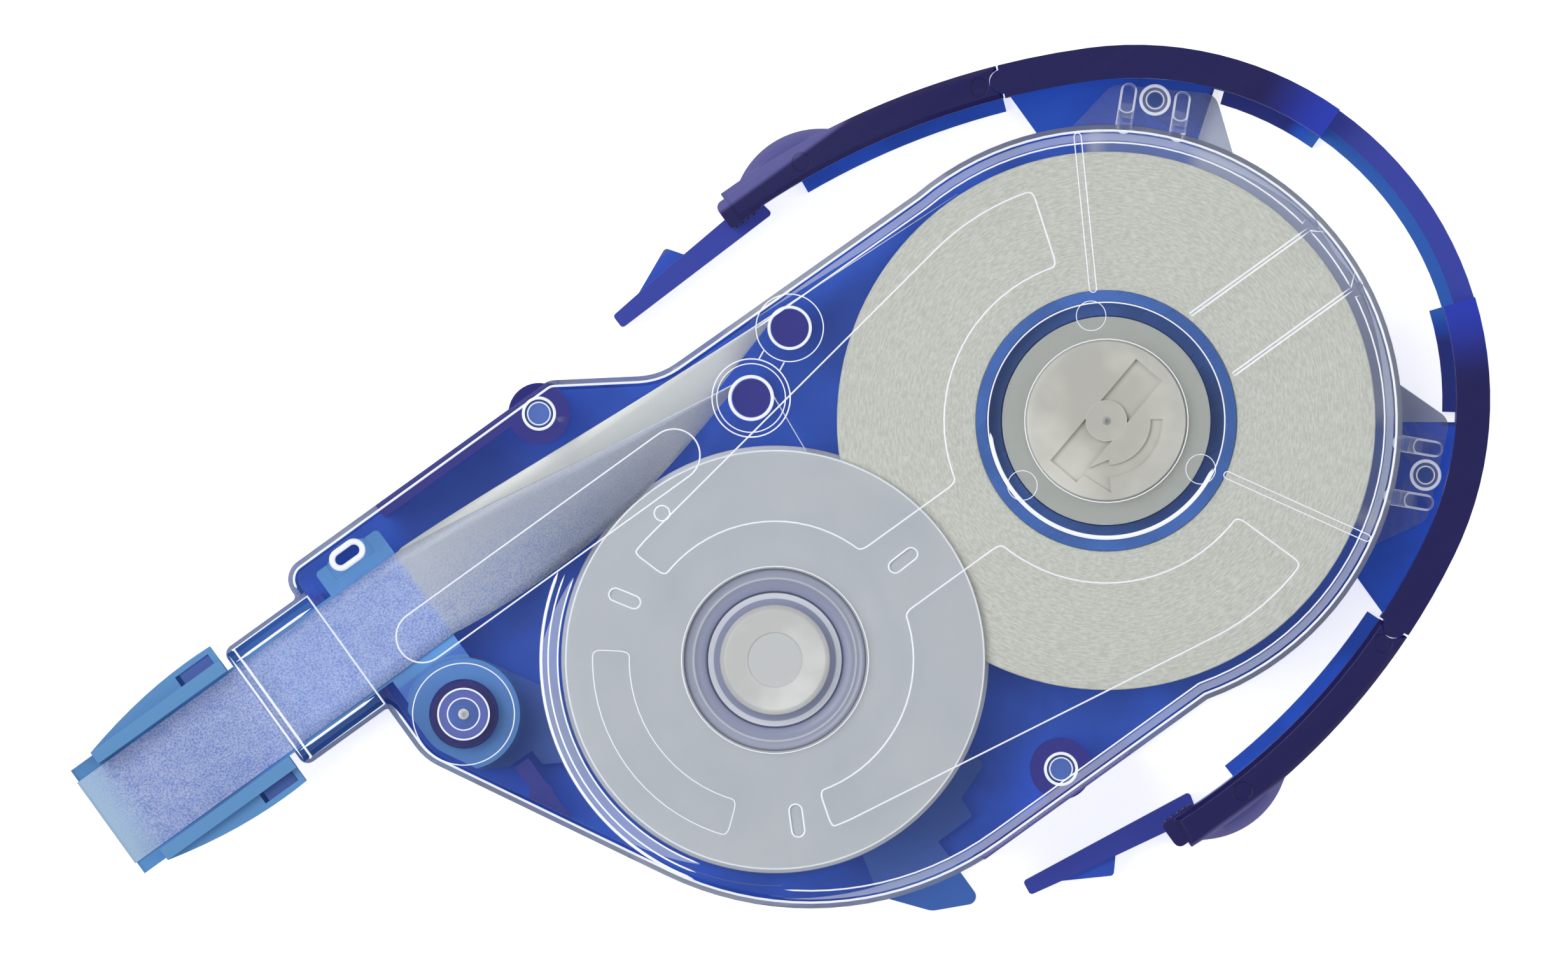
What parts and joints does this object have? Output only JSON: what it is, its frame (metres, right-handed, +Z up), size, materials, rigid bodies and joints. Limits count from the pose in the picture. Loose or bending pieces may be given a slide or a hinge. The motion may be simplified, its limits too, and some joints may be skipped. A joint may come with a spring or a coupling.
{
  "type": "correction tape refill cartridge",
  "caption": "Clear-covered refill cartridge of a correction tape roller: geared reels, slip clutch, rocking flat tip and sprung release arms.",
  "frame": {"origin": "foot of the supply reel's axis on the underside of the base", "axes": "+X from the applicator tip towards the release bow, +Y towards the tape run, +Z up through the clear cover"},
  "size_m": [0.1216, 0.0704, 0.0149],
  "materials": {
    "tray_blue": "translucent deep blue moulding, glossy",
    "cover_clear": "clear polished polystyrene",
    "lever_blue": "light blue moulding, satin gloss",
    "gear_blue": "blue moulding, gloss",
    "hub_grey": "warm grey acetal, satin",
    "ring_white": "white acetal",
    "core_blue": "blue moulding, gloss",
    "roll_ivory": "wound tape, matt ivory with fine layers",
    "gear_white": "translucent bluish white acetal",
    "flange_frost": "frosted translucent plastic",
    "cap_white": "white acetal, satin",
    "used_tape": "glassine backing, translucent and mottled",
    "fresh_tape": "coated tape, matt ivory"
  },
  "bodies": {
    "base": {"base": "tray_blue", "cover": "cover_clear", "feed_tape": "fresh_tape", "return_tape": "used_tape"},
    "upper_arm": {"upper_release_arm": "tray_blue"},
    "lower_arm": {"lower_release_arm": "tray_blue"},
    "lever": {"applicator_lever": "lever_blue", "tip_tape": "used_tape"},
    "drive": {"clutch_hub": "hub_grey", "drive_gear": "gear_blue", "clutch_ring": "ring_white"},
    "supply": {"supply_core": "core_blue", "supply_roll": "roll_ivory"},
    "takeup": {"takeup_gear": "gear_white", "takeup_lower_flange": "flange_frost", "takeup_upper_flange": "flange_frost", "takeup_cap": "cap_white", "takeup_winding": "used_tape"}
  },
  "joints": [
    {"name": "hub_spin", "type": "hinge", "parent": "base", "child": "drive", "pos_m": [0, 0, 0], "axis": [0, 0, 1], "continuous": true},
    {"name": "roll_slip", "type": "hinge", "parent": "drive", "child": "supply", "pos_m": [0, 0, 0], "axis": [0, 0, 1], "continuous": true},
    {"name": "takeup_spin", "type": "hinge", "parent": "base", "child": "takeup", "pos_m": [-0.0345, 0, 0], "axis": [0, 0, 1], "continuous": true},
    {"name": "lever_swing", "type": "hinge", "parent": "base", "child": "lever", "pos_m": [-0.0585, 0.01166, 0], "axis": [0, 0, 1], "range_deg": [-1.2, 1.2]},
    {"name": "upper_arm_flex", "type": "hinge", "parent": "base", "child": "upper_arm", "pos_m": [0.00965, 0.02841, 0], "axis": [0, 0, 1], "range_deg": [0, 4], "stiffness_Nm_per_rad": 0.05},
    {"name": "lower_arm_flex", "type": "hinge", "parent": "base", "child": "lower_arm", "pos_m": [0.00965, -0.02834, 0], "axis": [0, 0, -1], "range_deg": [0, 4], "stiffness_Nm_per_rad": 0.05}
  ],
  "couplings": [
    {"joint": "takeup_spin", "follows": "hub_spin", "ratio": -1.7059}
  ]
}
